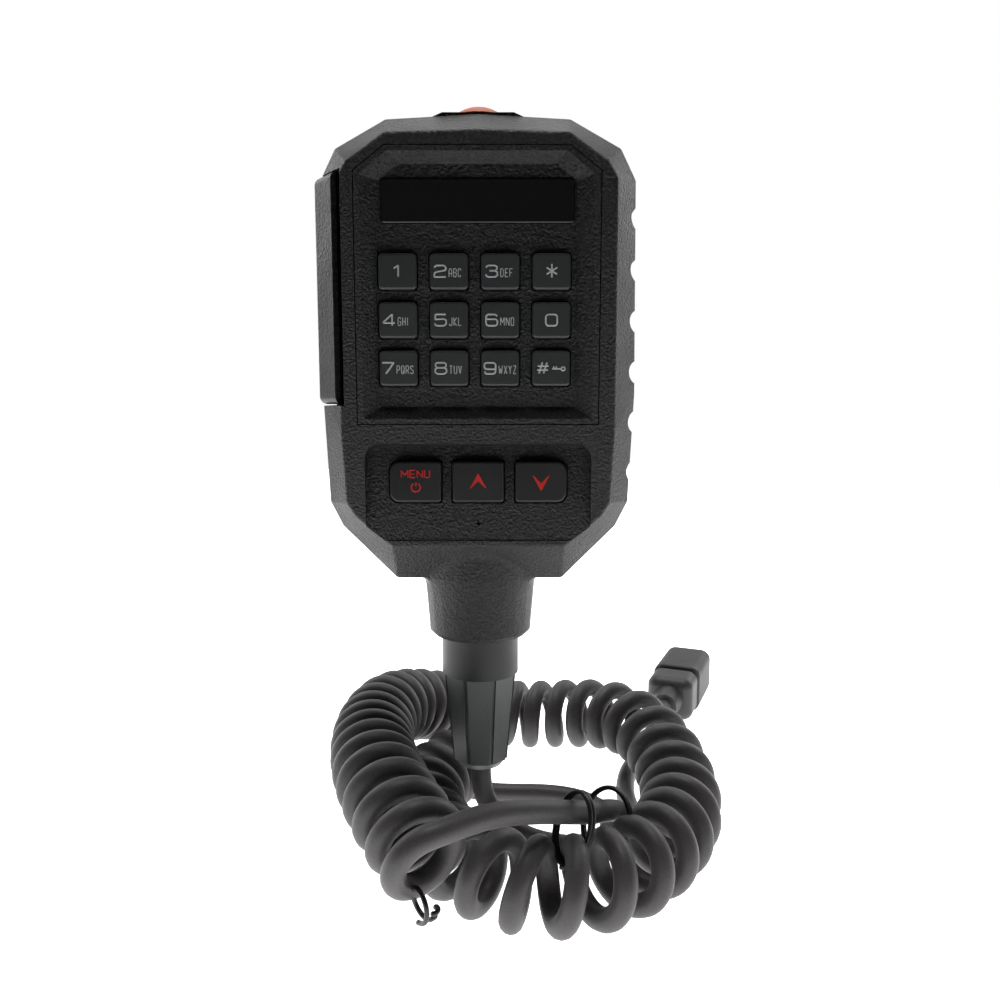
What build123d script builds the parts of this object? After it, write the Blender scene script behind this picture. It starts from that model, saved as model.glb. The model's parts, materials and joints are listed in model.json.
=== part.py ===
"""Hand microphone with keypad, curly cord and modular plug, in millimetres.

The microphone stands upright: +Z is up, +X is its right-hand side and its front faces -Y.
The origin is the centre of the round head of the hang-up stud on its back, so every other
y is negative on the case: the rear face is the nearest to 0 and the front face the furthest.
"""

import math
import os

from build123d import *

os.makedirs("parts", exist_ok=True)

# ---- driving dimensions ----

# depths through the case, front to back
FACE_Y = -33.0  # flat front face
SHOULDER_Y = -26.0  # where the front bevel reaches the full outline
PARTING_Y = -19.0  # joint between the two shells, and axis of the neck
HEEL_Y = -12.0  # where the rear bevel starts
REAR_Y = -5.0  # flat rear face
WALL = 2.0

# half outlines of the case as (x, z), from the top centre down the right-hand side
FACE_HALF = [(0, 29.0), (17.4, 28.5), (24.6, 23.4), (26.5, 20.4), (26.6, -28.0), (25.8, -41.5),
             (24.2, -44.0), (17.0, -50.0)]
FULL_HALF = [(0, 34.0), (18.0, 33.0), (28.0, 27.5), (31.0, 21.5), (31.5, -20.0), (30.5, -42.0),
             (28.0, -47.0), (17.0, -58.0)]
REAR_HALF = [(0, 29.5), (15.5, 28.7), (23.5, 24.3), (26.4, 19.0), (27.0, -18.0), (26.0, -39.5),
             (23.8, -43.6), (14.0, -53.0)]
CORNER_RADIUS = 1.2
EDGE_SOFTENING = 0.8

# neck below the case
NECK_TOP_Z, NECK_Z = -47.0, -71.2
NECK_TOP_RADIUS, NECK_RADIUS = 11.9, 10.9
NECK_BORE_RADIUS = 8.5
NECK_SEAM_RADIUS = 2.2
NECK_AXIS = Axis((0, PARTING_Y, 0), (0, 0, 1))
FLANGE_RADIUS, FLANGE_TOP_Z, FLANGE_LOW_Z = 9.7, -62.5, -65.5
COLLAR_RADIUS = 8.25
COLLAR_Z = -80.0
BOOT_END_RADIUS = 5.95
BOOT_Z = -101.5
BOOT_FLUTES, BOOT_TURN = 8, 22.5
GROOVE_DEPTH, GROOVE_WIDTH = 0.7, 0.9
SPIGOT_RADIUS, SPIGOT_TOP_Z = 5.8, -66.5
INNER_LEAD_TOP_Z = -47.5

# keypad panel
PANEL_HALF = [(17.5, 26.2), (23.4, 21.6), (23.4, -25.9)]
PANEL_RIM_HALF = [(17.0, 25.2), (22.3, 21.0), (22.3, -24.9)]
PANEL_FLOOR_HALF = [(15.2, 23.3), (18.9, 20.2), (18.9, -22.6)]
PANEL_FLOOR_Y = -31.0
PANEL_BACK_Y = -29.4
PANEL_LEDGE_Y = -27.9
PANEL_GROOVE = 0.2
KEY_PITCH_X, KEY_PITCH_Z = 9.9, 9.2
KEY_WIDTH, KEY_HEIGHT = 7.4, 6.9
KEY_CENTRE_X, KEY_CENTRE_Z = -0.6, -5.9
KEY_TOP_Y = -32.1
KEY_TRAVEL = 0.8
KEY_CLEARANCE = 0.25
KEY_EDGE = 0.5
KEY_CORNERS = (0.8, 0.8)
FLANGE_THICKNESS = 0.8
STEM_RADIUS, STEM_END_Y = 1.5, -27.6
KEY_NAMES = [["key_1", "key_2", "key_3", "key_star"],
             ["key_4", "key_5", "key_6", "key_0"],
             ["key_7", "key_8", "key_9", "key_hash"]]

# name plate, blank
PLATE_WIDTH, PLATE_HEIGHT, PLATE_Z = 38.0, 8.2, 16.5
PLATE_THICKNESS = 0.9

# function keys in their scooped recess
SCOOP_HALF_WIDTH, SCOOP_TOP_Z = 22.2, -29.5
SCOOP_LOW_Z = -49.0
SCOOP_CORNER = 3.0
SCOOP_DEPTH = 2.5
SCOOP_BACK_Y = -28.9
FUNCTION_NAMES = ["menu_key", "up_key", "down_key"]
FUNCTION_WIDTH, FUNCTION_HEIGHT = 10.2, 8.2
FUNCTION_PITCH, FUNCTION_Z = 12.4, -37.3
FUNCTION_CORNERS = [(2.0, 0.7), (0.7, 0.7), (0.7, 2.0)]
FUNCTION_TOP_Y = -32.6

# circuit board
BOARD_FRONT_Y, BOARD_REAR_Y = -24.2, -22.6
BOARD_LEFT, BOARD_RIGHT, BOARD_LOW, BOARD_HIGH = -20.3, 23.0, -41.8, 21.4
MAT_THICKNESS = 0.8
DOME_HEIGHT, DOME_RADIUS, DOME_TOP_RADIUS = 1.5, 2.9, 1.8
CONTACT_RADIUS = 2.0

CAPSULE_Z = -45.6
CAPSULE_RADIUS, SOUND_HOLE_RADIUS = 3.0, 0.35
CAPSULE_FRONT = (-28.9, -26.2)

# push-to-talk lever in its well on the left side
WELL_EDGE_X, WELL_FLOOR_X = -26.0, -22.9
WELL_LOW, WELL_HIGH = -22.4, 22.4
WELL_FRONT_Y, WELL_REAR_Y = -31.0, -12.5
WELL_WALL = 1.4
LEVER_OUTER_X = -32.3
LEVER_FRONT_X, LEVER_SKIRT_X = -27.1, -24.9
LEVER_REAR_Y = WELL_REAR_Y - 0.4
LEVER_GAP = 0.3
LEVER_SKIN = 1.8
PIN_X, PIN_Z, PIN_RADIUS = -27.5, -18.0, 1.0
PIN_RUNNING_CLEARANCE = 0.05
PLUNGER_Y, PLUNGER_Z = -20.9, 10.0

PLUNGER_RADIUS, PLUNGER_TIP_X = 1.6, -21.6
LUG_FRONT, LUG_REAR = (-25.8, -23.8), (-17.4, -15.4)
LUG_GAP, LUG_HALF_HEIGHT, LUG_END_X = 0.4, 2.0, -29.4

# side grip notches, one every pitch down the right side
NOTCH_TOP_Z, NOTCH_PITCH, NOTCH_COUNT = 14.3, 10.0, 6

# top button
BUTTON_RADIUS, BUTTON_FLANGE = 5.5, 0.7
BUTTON_TOP_Z, BUTTON_DOME = 37.2, 2.2
PLINTH_HALF_WIDTH, PLINTH_SLOPE, PLINTH_Z = 7.0, 3.0, 34.3

# fasteners and stud
CASE_SCREWS = [(14.5, 24.5), (-14.5, 24.5), (16.0, -46.0), (-16.0, -46.0)]
SCREW_RADIUS, SCREW_HEAD_RADIUS = 1.3, 2.5
PANEL_POSTS = [(16.0, 19.0), (-16.0, 19.0)]
SHELL_POSTS = [(18.0, -28.6), (-17.6, -28.6)]
BOARD_SCREW_RADIUS = 0.9
STUD_SCREW_RADIUS = 1.5
CLAMP_Z, CLAMP_POST_Y = -51.0, -18.6
CLAMP_POSTS = (-6.5, 6.5)
STUD_NECK_RADIUS, STUD_HEAD_RADIUS = 3.5, 6.25
STUD_FACE_Y, STUD_SHOULDER_Y, STUD_CHAMFER = 0.6, -1.6, 0.5

# cord
FLOOR_Z = -119.5  # the surface that the cord lies on
WIRE = 4.5
CURL = 18.0
# routes as (x, y, height of the centre above the floor)
MIC_LEAD = [(0, -19, 18), (0, -19, 12.8), (2.0, -19.8, 7.8), (6.2, -21.8, 4.2), (12.2, -24.4, 2.6),
            (20.0, -26.4, 2.25), (26.8, -23.8, 2.25), (29.8, -17.2, 2.25), (28.6, -9.6, 2.25),
            (23.2, -3.8, 2.25), (15.6, -1.6, 2.25), (8.0, -1.6, 2.25), (1.2, -1.0, 2.25), (-4.9, 1.8, 2.25)]
CURLY_CORD = [(-5.5, 2, 9), (-10.5, -6, 9), (-12.8, -15.5, 9), (-12, -26, 9), (-8.6, -35, 9),
              (-3.6, -42.6, 9), (3.4, -48.6, 9), (12.2, -52.2, 9), (22, -50.8, 9), (31.5, -44.6, 9),
              (39.5, -34, 9), (44.4, -22.5, 9), (45.6, -11, 10.5), (44.2, 0, 13), (40, 9.5, 15.4),
              (32.5, 17, 15.4), (23, 22, 13.6), (12.5, 24.6, 12.2), (3, 25.3, 12.4), (-6.2, 22, 14.8),
              (-13.8, 15.5, 18.6), (-19.6, 6.6, 22), (-23, -3.4, 24), (-24.2, -14, 24.2),
              (-23.2, -25, 24.2), (-20.6, -36, 24.2), (-16.6, -46.4, 23.4), (-12, -54.6, 21.4),
              (-7.2, -61.6, 19)]
PLUG_LEAD = [(-6.2, -61.8, 25.6), (2.6, -56.4, 25.6), (12.4, -50, 22.8), (21.6, -42.4, 18.4),
             (27.6, -32.6, 14.2), (32.2, -22.4, 7.6), (34.8, -12, 3.2), (34.8, -1.8, 2.25),
             (36.8, 8.4, 2.25), (40.6, 17.4, 2.25), (45.2, 25.0, 3.2), (48.6, 32.0, 6.0),
             (51.0, 37.8, 7.25), (53.34, 43.32, 7.25)]
TIE_WIRE_RADIUS = 0.6
TIE_RUNS = (3, 4)  # the runs of the plug lead that carry a tie at their middle

# modular plug with its boot and its pull-off cap, along its own axis from the end of the plug lead
PLUG_AXIS_DEGREES = 23.0  # to the right of +Y
PLUG_HEIGHT = 7.25
BOOT_NECK_END, BOOT_BLOCK_END = 6.0, 16.5
PLUG_BODY_WIDTH, PLUG_BODY_HEIGHT, PLUG_BODY_LENGTH = 11.7, 6.6, 21.5
PLUG_CONTACT_PITCH, PLUG_CONTACTS = 1.02, 8
CAP_START, CAP_END = 17.6, 40.5
CAP_WIDTH, CAP_HEIGHT = 14.6, 14.4


def facing(y):
    """A sketch plane at this depth, seen from the front: sketch x is X and sketch y is Z."""
    return Plane.XZ.offset(-y)


def mirrored(half):
    """The closed outline of a right-hand half, mirrored in x."""
    left = [(-x, z) for x, z in reversed(half) if x > 0]
    Polygon(*half, *left, align=None)


def block(x, y, z, mode=Mode.ADD):
    """A box between the two limits given for each direction."""
    with Locations(((x[0] + x[1]) / 2, (y[0] + y[1]) / 2, (z[0] + z[1]) / 2)):
        Box(x[1] - x[0], y[1] - y[0], z[1] - z[0], mode=mode)


def rod(x, z, radius, y, mode=Mode.ADD):
    """A round bar along Y between the two depths given."""
    with Locations((x, (y[0] + y[1]) / 2, z)):
        Cylinder(radius, y[1] - y[0], rotation=(90, 0, 0), mode=mode)


def key_outline(x, z, width, height, corners):
    """A key's outline, with its own corner radius on the left and on the right."""
    part_width = 0.7 * width
    for radius, side in zip(corners, (-1, 1)):
        with Locations((x + side * (width - part_width) / 2, z)):
            RectangleRounded(part_width, height, radius)


def finish(built, name):
    built.part.label = name
    export_step(built.part, f"parts/{name}.step")


def case_body(inset):
    """The case's outer form, or with an inset its inner one."""
    stations = [(FACE_Y + inset, FACE_HALF), (SHOULDER_Y, FULL_HALF), (HEEL_Y, FULL_HALF),
                (REAR_Y - inset, REAR_HALF)]
    with BuildPart() as body:
        for (front_y, front_half), (rear_y, rear_half) in zip(stations, stations[1:]):
            for y, half in ((rear_y, rear_half), (front_y, front_half)):
                with BuildSketch(facing(y)) as station:
                    mirrored(half)
                    if inset:
                        offset(amount=-inset, kind=Kind.INTERSECTION)
                    else:
                        fillet(station.vertices(), CORNER_RADIUS)
            loft(ruled=True)
    return body.part


# ---- the case, whole, before it is parted into its two shells ----

WELL_Y = (WELL_FRONT_Y, WELL_REAR_Y)
WELL_Z = (WELL_LOW, WELL_HIGH)

with BuildPart() as cavity:
    add(case_body(WALL))
    # walls are left standing round the push-to-talk well
    block((WELL_EDGE_X - 9, WELL_FLOOR_X + WELL_WALL), (FACE_Y, WELL_REAR_Y + WELL_WALL),
          (WELL_LOW - WELL_WALL, WELL_HIGH + WELL_WALL), Mode.SUBTRACT)

with BuildPart() as case:
    add(case_body(0))
    for rim_y in (FACE_Y, SHOULDER_Y, HEEL_Y, REAR_Y):
        fillet(case.edges().filter_by_position(Axis.Y, rim_y - 0.01, rim_y + 0.01), EDGE_SOFTENING)
    with BuildSketch(facing(HEEL_Y)):
        mirrored([(0, PLINTH_Z), (PLINTH_HALF_WIDTH, PLINTH_Z), (PLINTH_HALF_WIDTH + PLINTH_SLOPE, 33.0),
                  (PLINTH_HALF_WIDTH + PLINTH_SLOPE, 30.0)])
    extrude(amount=HEEL_Y - SHOULDER_Y)
    with BuildSketch(facing(PARTING_Y)):
        Polygon((0, NECK_TOP_Z), (NECK_TOP_RADIUS, NECK_TOP_Z), (NECK_TOP_RADIUS, FULL_HALF[-1][1]),
                (NECK_RADIUS, NECK_Z + 1), (NECK_RADIUS - 1, NECK_Z), (0, NECK_Z), align=None)
    revolve(axis=NECK_AXIS)
    # the seam where the round neck runs into the bevels and the bottom
    seam = [edge for edge in case.edges()
            if FULL_HALF[-1][1] - 0.1 < edge.center().Z < FACE_HALF[-1][1]
            and all(abs(math.hypot(point.X, point.Y - PARTING_Y) - NECK_TOP_RADIUS) < 0.1
                    for point in (edge @ 0, edge @ 0.5, edge @ 1))]
    fillet(seam, NECK_SEAM_RADIUS)
    add(cavity.part, mode=Mode.SUBTRACT)
    # bore of the neck, with the groove that the boot's flange sits in
    with BuildSketch(facing(PARTING_Y)):
        Polygon((0, NECK_TOP_Z), (NECK_BORE_RADIUS + 1, NECK_TOP_Z), (NECK_BORE_RADIUS + 1, FLANGE_TOP_Z),
                (FLANGE_RADIUS, FLANGE_TOP_Z), (FLANGE_RADIUS, FLANGE_LOW_Z),
                (NECK_BORE_RADIUS, FLANGE_LOW_Z), (NECK_BORE_RADIUS, NECK_Z), (0, NECK_Z), align=None)
    revolve(axis=NECK_AXIS, mode=Mode.SUBTRACT)
    # the push-to-talk well, open to the left and to the front bevel
    block((WELL_EDGE_X - 9, WELL_EDGE_X), (FACE_Y - 1, WELL_REAR_Y), WELL_Z, Mode.SUBTRACT)
    block((WELL_EDGE_X - 1, WELL_FLOOR_X), WELL_Y, WELL_Z, Mode.SUBTRACT)
    # hole for the lever's plunger, and the hole for the top button
    with Locations((WELL_FLOOR_X, PLUNGER_Y, PLUNGER_Z)):
        Cylinder(PLUNGER_RADIUS + 0.7, 6, rotation=(0, 90, 0), mode=Mode.SUBTRACT)
    with Locations((0, PARTING_Y, PLINTH_Z)):
        Cylinder(BUTTON_RADIUS + 0.3, 12, mode=Mode.SUBTRACT)
    # grip notches down the right-hand side
    for count in range(NOTCH_COUNT):
        rod(FULL_HALF[3][0] + 1.4, NOTCH_TOP_Z - count * NOTCH_PITCH, 2.4, (FACE_Y + 2.5, HEEL_Y + 1.5),
            Mode.SUBTRACT)

with BuildPart() as scoop:
    with BuildSketch(Plane.YZ.offset(-SCOOP_HALF_WIDTH)):
        Polygon((FACE_Y - 1, SCOOP_TOP_Z), (FACE_Y + SCOOP_DEPTH, SCOOP_TOP_Z - 0.8),
                (FACE_Y + 0.2, SCOOP_LOW_Z), (FACE_Y - 1, SCOOP_LOW_Z), align=None)
    extrude(amount=2 * SCOOP_HALF_WIDTH)
    fillet(scoop.faces().sort_by(Axis.Z)[-1].edges().filter_by(Axis.X, reverse=True), SCOOP_CORNER)

# ---- front shell ----

with BuildPart() as front_shell:
    add(case.part)
    split(bisect_by=facing(PARTING_Y), keep=Keep.TOP)
    # ledge that carries the keypad panel, and the pad behind the function keys
    with BuildSketch(facing(PANEL_LEDGE_Y)):
        mirrored(PANEL_HALF)
        offset(amount=1.5, kind=Kind.INTERSECTION)
    extrude(amount=PANEL_LEDGE_Y - FACE_Y - 1.0)
    block((-23.5, 23.5), (FACE_Y + 1.0, SCOOP_BACK_Y), (-43.5, SCOOP_TOP_Z + 1.8))
    for x, z in CASE_SCREWS:
        rod(x, z, SCREW_RADIUS + 1.6, (FACE_Y + 1.5, PARTING_Y))
        rod(x, z, SCREW_RADIUS, (PARTING_Y - 8.0, PARTING_Y), Mode.SUBTRACT)
    for x, z in SHELL_POSTS:
        rod(x, z, 2.2, (FACE_Y + 1.5, BOARD_FRONT_Y))
        rod(x, z, BOARD_SCREW_RADIUS, (BOARD_FRONT_Y - 3.5, BOARD_FRONT_Y), Mode.SUBTRACT)
    block((LUG_END_X, WELL_FLOOR_X + 0.4), LUG_FRONT, (PIN_Z - LUG_HALF_HEIGHT, PIN_Z + LUG_HALF_HEIGHT))
    rod(PIN_X, PIN_Z, PIN_RADIUS, LUG_FRONT, Mode.SUBTRACT)
    # seat and opening for the panel
    with BuildSketch(facing(PANEL_BACK_Y)):
        mirrored(PANEL_HALF)
        offset(amount=PANEL_GROOVE, kind=Kind.INTERSECTION)
    extrude(amount=PANEL_BACK_Y - FACE_Y + 1, mode=Mode.SUBTRACT)
    with BuildSketch(facing(PANEL_LEDGE_Y)):
        mirrored(PANEL_HALF)
        offset(amount=-1.5, kind=Kind.INTERSECTION)
    extrude(amount=PANEL_LEDGE_Y - FACE_Y, mode=Mode.SUBTRACT)
    # scoop round the function keys: deep at the top, running out at the bottom of the face
    add(scoop.part, mode=Mode.SUBTRACT)
    for count in range(len(FUNCTION_NAMES)):
        with BuildSketch(facing(SCOOP_BACK_Y)):
            key_outline((count - 1) * FUNCTION_PITCH, FUNCTION_Z, FUNCTION_WIDTH + 2 * KEY_CLEARANCE,
                        FUNCTION_HEIGHT + 2 * KEY_CLEARANCE, FUNCTION_CORNERS[count])
        extrude(amount=SCOOP_BACK_Y - FACE_Y, mode=Mode.SUBTRACT)
    # sound hole of the microphone
    rod(0, CAPSULE_Z, SOUND_HOLE_RADIUS, (FACE_Y - 1, SCOOP_BACK_Y + 1), Mode.SUBTRACT)

# ---- rear shell ----

with BuildPart() as rear_shell:
    add(case.part)
    split(bisect_by=facing(PARTING_Y), keep=Keep.BOTTOM)
    for x, z in CASE_SCREWS:
        rod(x, z, SCREW_RADIUS + 2.1, (PARTING_Y, REAR_Y - 1.0))
        rod(x, z, SCREW_RADIUS + 0.2, (PARTING_Y, REAR_Y), Mode.SUBTRACT)
        rod(x, z, SCREW_HEAD_RADIUS + 0.3, (REAR_Y - 2.4, REAR_Y + 1), Mode.SUBTRACT)
    block((LUG_END_X, WELL_FLOOR_X + 0.4), LUG_REAR, (PIN_Z - LUG_HALF_HEIGHT, PIN_Z + LUG_HALF_HEIGHT))
    rod(PIN_X, PIN_Z, PIN_RADIUS, LUG_REAR, Mode.SUBTRACT)
    # plinth under the hang-up stud, with the stud screw's hole
    rod(0, 0, 9.0, (REAR_Y - WALL - 1.0, REAR_Y))
    rod(0, 0, STUD_SCREW_RADIUS + 0.1, (REAR_Y - WALL - 1.0, REAR_Y), Mode.SUBTRACT)
    # ribs inside, across the flat rear wall
    for z in (-34.0, 14.0):
        block((-18.0, 18.0), (REAR_Y - WALL - 1.5, REAR_Y - 1.0), (z - 0.6, z + 0.6))
    # posts of the cord clamp, and the rest that the lead lies on between them
    for x in CLAMP_POSTS:
        rod(x, CLAMP_Z, 2.2, (CLAMP_POST_Y, REAR_Y - 1.0))
        rod(x, CLAMP_Z, BOARD_SCREW_RADIUS, (CLAMP_POST_Y, CLAMP_POST_Y + 4.5), Mode.SUBTRACT)
    block((-2.6, 2.6), (PARTING_Y + WIRE / 2, REAR_Y - 1.0), (CLAMP_Z - 1.0, CLAMP_Z + 1.0))


# ---- keypad panel, name plate and keys ----

with BuildPart() as keypad_bezel:
    with BuildSketch(facing(PANEL_BACK_Y)):
        mirrored(PANEL_HALF)
    extrude(amount=PANEL_BACK_Y - FACE_Y)
    with BuildSketch(facing(PANEL_FLOOR_Y)):
        mirrored(PANEL_FLOOR_HALF)
    with BuildSketch(facing(FACE_Y)):
        mirrored(PANEL_RIM_HALF)
    loft(ruled=True, mode=Mode.SUBTRACT)
    with BuildSketch(facing(PANEL_FLOOR_Y + 0.5)):
        with Locations((0, PLATE_Z)):
            RectangleRounded(PLATE_WIDTH - 0.6, PLATE_HEIGHT + 0.2, 0.8)
    extrude(amount=1.0, mode=Mode.SUBTRACT)
    with BuildSketch(facing(PANEL_BACK_Y)):
        with Locations((KEY_CENTRE_X, KEY_CENTRE_Z)):
            with GridLocations(KEY_PITCH_X, KEY_PITCH_Z, len(KEY_NAMES[0]), len(KEY_NAMES)):
                RectangleRounded(KEY_WIDTH + 2 * KEY_CLEARANCE, KEY_HEIGHT + 2 * KEY_CLEARANCE, 0.9)
    extrude(amount=PANEL_BACK_Y - FACE_Y, mode=Mode.SUBTRACT)
    for x, z in PANEL_POSTS:
        rod(x, z, 2.2, (PANEL_BACK_Y - 0.5, BOARD_FRONT_Y))
        rod(x, z, BOARD_SCREW_RADIUS, (BOARD_FRONT_Y - 3.5, BOARD_FRONT_Y), Mode.SUBTRACT)

with BuildPart() as name_plate:
    with BuildSketch(facing(PANEL_FLOOR_Y + 0.5)):
        with Locations((0, PLATE_Z)):
            RectangleRounded(PLATE_WIDTH - 0.8, PLATE_HEIGHT, 0.7)
    extrude(amount=PLATE_THICKNESS)
    fillet(name_plate.faces().sort_by(Axis.Y)[0].edges(), 0.3)


def key_cap(x, z, width, height, top_y, flange_y, corners):
    """A key: the cap that shows, the flange that keeps it in and the stem that presses its dome."""
    with BuildPart() as cap:
        with BuildSketch(facing(flange_y)):
            key_outline(x, z, width, height, corners)
        extrude(amount=flange_y - top_y)
        fillet(cap.faces().sort_by(Axis.Y)[0].edges(), KEY_EDGE)
        with BuildSketch(facing(flange_y + FLANGE_THICKNESS)):
            with Locations((x, z)):
                RectangleRounded(width + 1.1, height + 1.1, 1.2)
        extrude(amount=FLANGE_THICKNESS)
        rod(x, z, STEM_RADIUS, (flange_y + FLANGE_THICKNESS - 0.2, STEM_END_Y))
    return cap


key_places = []
for row, names in enumerate(KEY_NAMES):
    for column, name in enumerate(names):
        x = KEY_CENTRE_X + (column - (len(names) - 1) / 2) * KEY_PITCH_X
        z = KEY_CENTRE_Z + (1 - row) * KEY_PITCH_Z
        key_places.append((x, z))
        finish(key_cap(x, z, KEY_WIDTH, KEY_HEIGHT, KEY_TOP_Y, PANEL_BACK_Y + 0.2, KEY_CORNERS), name)

function_places = []
for column, name in enumerate(FUNCTION_NAMES):
    x = (column - 1) * FUNCTION_PITCH
    function_places.append((x, FUNCTION_Z))
    finish(key_cap(x, FUNCTION_Z, FUNCTION_WIDTH, FUNCTION_HEIGHT, FUNCTION_TOP_Y, SCOOP_BACK_Y + 0.2,
                   FUNCTION_CORNERS[column]), name)


def dome_mat(places, x, z):
    """A rubber sheet on the board with a hollow dome under every key stem."""
    sheet_y = BOARD_FRONT_Y - MAT_THICKNESS
    with BuildPart() as mat:
        block(x, (sheet_y, BOARD_FRONT_Y), z)
        for dome_x, dome_z in places:
            with Locations((dome_x, sheet_y - DOME_HEIGHT / 2, dome_z)):
                Cone(DOME_RADIUS, DOME_TOP_RADIUS, DOME_HEIGHT, rotation=(90, 0, 0))
            rod(dome_x, dome_z, DOME_TOP_RADIUS + 0.4, (sheet_y - 0.4, BOARD_FRONT_Y), Mode.SUBTRACT)
    return mat


def contact_domes(places):
    """The metal contact discs on the board, one under each dome."""
    with BuildPart() as contacts:
        for dome_x, dome_z in places:
            rod(dome_x, dome_z, CONTACT_RADIUS, (BOARD_FRONT_Y - 0.3, BOARD_FRONT_Y))
    return contacts


finish(dome_mat(key_places, (-19.4, 19.4), (KEY_CENTRE_Z - 14.0, KEY_CENTRE_Z + 14.0)), "keypad_mat")
finish(dome_mat(function_places, (-18.6, 18.6), (FUNCTION_Z - 4.3, FUNCTION_Z + 5.2)), "function_mat")
finish(contact_domes(key_places), "key_contacts")
finish(contact_domes(function_places), "function_contacts")

# ---- circuit board and what is on it ----

with BuildPart() as circuit_board:
    block((BOARD_LEFT, BOARD_RIGHT), (BOARD_FRONT_Y, BOARD_REAR_Y), (BOARD_LOW, BOARD_HIGH))
    chamfer(circuit_board.edges().filter_by(Axis.Y), 1.5)
    for x, z in PANEL_POSTS + SHELL_POSTS:
        rod(x, z, BOARD_SCREW_RADIUS + 0.2, (BOARD_FRONT_Y, BOARD_REAR_Y), Mode.SUBTRACT)

with BuildPart() as controller_chip:
    block((-5, 5), (BOARD_REAR_Y + 0.2, BOARD_REAR_Y + 1.6), (-11, -1))
    for step in range(8):
        across = -4.2 + 1.2 * step
        block((across - 0.2, across + 0.2), (BOARD_REAR_Y, BOARD_REAR_Y + 0.4), (-11.9, -0.1))
        block((-5.9, 5.9), (BOARD_REAR_Y, BOARD_REAR_Y + 0.4), (across - 6.2, across - 5.8))

with BuildPart() as board_parts:
    for x, z in ((-12, -6), (-12, -9), (11, -4), (11, -7), (11, -16), (14, -16), (-9, 4), (-6, 4), (6, 3)):
        block((x - 1.0, x + 1.0), (BOARD_REAR_Y, BOARD_REAR_Y + 0.9), (z - 0.6, z + 0.6))
    for x, z in ((15, 3), (-13, -20)):
        rod(x, z, 2.5, (BOARD_REAR_Y, BOARD_REAR_Y + 5.4))

with BuildPart() as cable_connector:
    block((-6, 6), (BOARD_REAR_Y, BOARD_REAR_Y + 4.4), (-39.4, -33.4))
    block((-5, 5), (BOARD_REAR_Y + 0.8, BOARD_REAR_Y + 3.6), (-39.4, -35.4), Mode.SUBTRACT)

with BuildPart() as cable_header:
    block((-4.9, 4.9), (BOARD_REAR_Y + 0.9, BOARD_REAR_Y + 3.5), (-40.6, -35.4))

with BuildPart() as ptt_switch:
    block((-19.8, -14.0), (BOARD_REAR_Y, BOARD_REAR_Y + 3.4), (PLUNGER_Z - 3, PLUNGER_Z + 3))
    with Locations((-20.0, PLUNGER_Y, PLUNGER_Z)):
        Cylinder(1.2, 1.2, rotation=(0, 90, 0))

with BuildPart() as top_switch:
    block((-3, 3), (BOARD_REAR_Y, BOARD_REAR_Y + 6.0), (15.0, 21.2))
    with Locations((0, PARTING_Y, 21.7)):
        Cylinder(1.2, 1.4)

with BuildPart() as mic_capsule:
    rod(0, CAPSULE_Z, CAPSULE_RADIUS, CAPSULE_FRONT)

with BuildPart() as mic_sleeve:
    rod(0, CAPSULE_Z, CAPSULE_RADIUS + 0.6, (CAPSULE_FRONT[0], CAPSULE_FRONT[1] + 0.5))
    rod(0, CAPSULE_Z, CAPSULE_RADIUS, CAPSULE_FRONT, Mode.SUBTRACT)

# ---- push-to-talk lever on its pin ----

LEVER_Z = (WELL_LOW + LEVER_GAP, WELL_HIGH - LEVER_GAP)
RIB_FRONT = (LUG_FRONT[1] + LUG_GAP, LUG_FRONT[1] + LUG_GAP + 1.8)
RIB_REAR = (LUG_REAR[0] - LUG_GAP - 1.8, LUG_REAR[0] - LUG_GAP)

with BuildPart() as ptt_lever:
    with BuildSketch(Plane.XY.offset(LEVER_Z[0])) as profile:
        Polygon((LEVER_FRONT_X, -30.6), (-28.0, -31.4), (LEVER_OUTER_X, -25.6), (LEVER_OUTER_X, -16.0),
                (-30.2, LEVER_REAR_Y), (LEVER_SKIRT_X, LEVER_REAR_Y), align=None)
        fillet(profile.vertices().group_by(Axis.X)[0] + profile.vertices().group_by(Axis.X)[1], 1.3)
    extrude(amount=LEVER_Z[1] - LEVER_Z[0])
    end_rims = ptt_lever.faces().filter_by(Axis.Z).edges()
    fillet([edge for edge in end_rims if edge.center().X < LEVER_FRONT_X - 0.5], 1.5)
    with BuildSketch(Plane.XY.offset(LEVER_Z[0] + LEVER_SKIN)):
        Polygon((LEVER_SKIRT_X + 1, -28.8), (-27.4, -28.8), (-30.6, -24.9), (-30.6, -16.6),
                (-29.0, LEVER_REAR_Y - LEVER_SKIN), (LEVER_SKIRT_X + 1, LEVER_REAR_Y - LEVER_SKIN), align=None)
    extrude(amount=LEVER_Z[1] - LEVER_Z[0] - 2 * LEVER_SKIN, mode=Mode.SUBTRACT)
    for rib in (RIB_FRONT, RIB_REAR):
        block((LEVER_OUTER_X + 1.0, PIN_X + 2.2), rib, (LEVER_Z[0] + 1.0, PIN_Z + 2.2))
        rod(PIN_X, PIN_Z, PIN_RADIUS + PIN_RUNNING_CLEARANCE, rib, Mode.SUBTRACT)
    with Locations(((LEVER_OUTER_X + 1 + PLUNGER_TIP_X) / 2, PLUNGER_Y, PLUNGER_Z)):
        Cylinder(PLUNGER_RADIUS, PLUNGER_TIP_X - LEVER_OUTER_X - 1, rotation=(0, 90, 0))

with BuildPart() as ptt_pin:
    rod(PIN_X, PIN_Z, PIN_RADIUS, (LUG_FRONT[0], LUG_REAR[1]))

# ---- top button ----

dome_radius = (BUTTON_RADIUS**2 + BUTTON_DOME**2) / (2 * BUTTON_DOME)
dome_centre_z = BUTTON_TOP_Z - dome_radius

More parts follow.
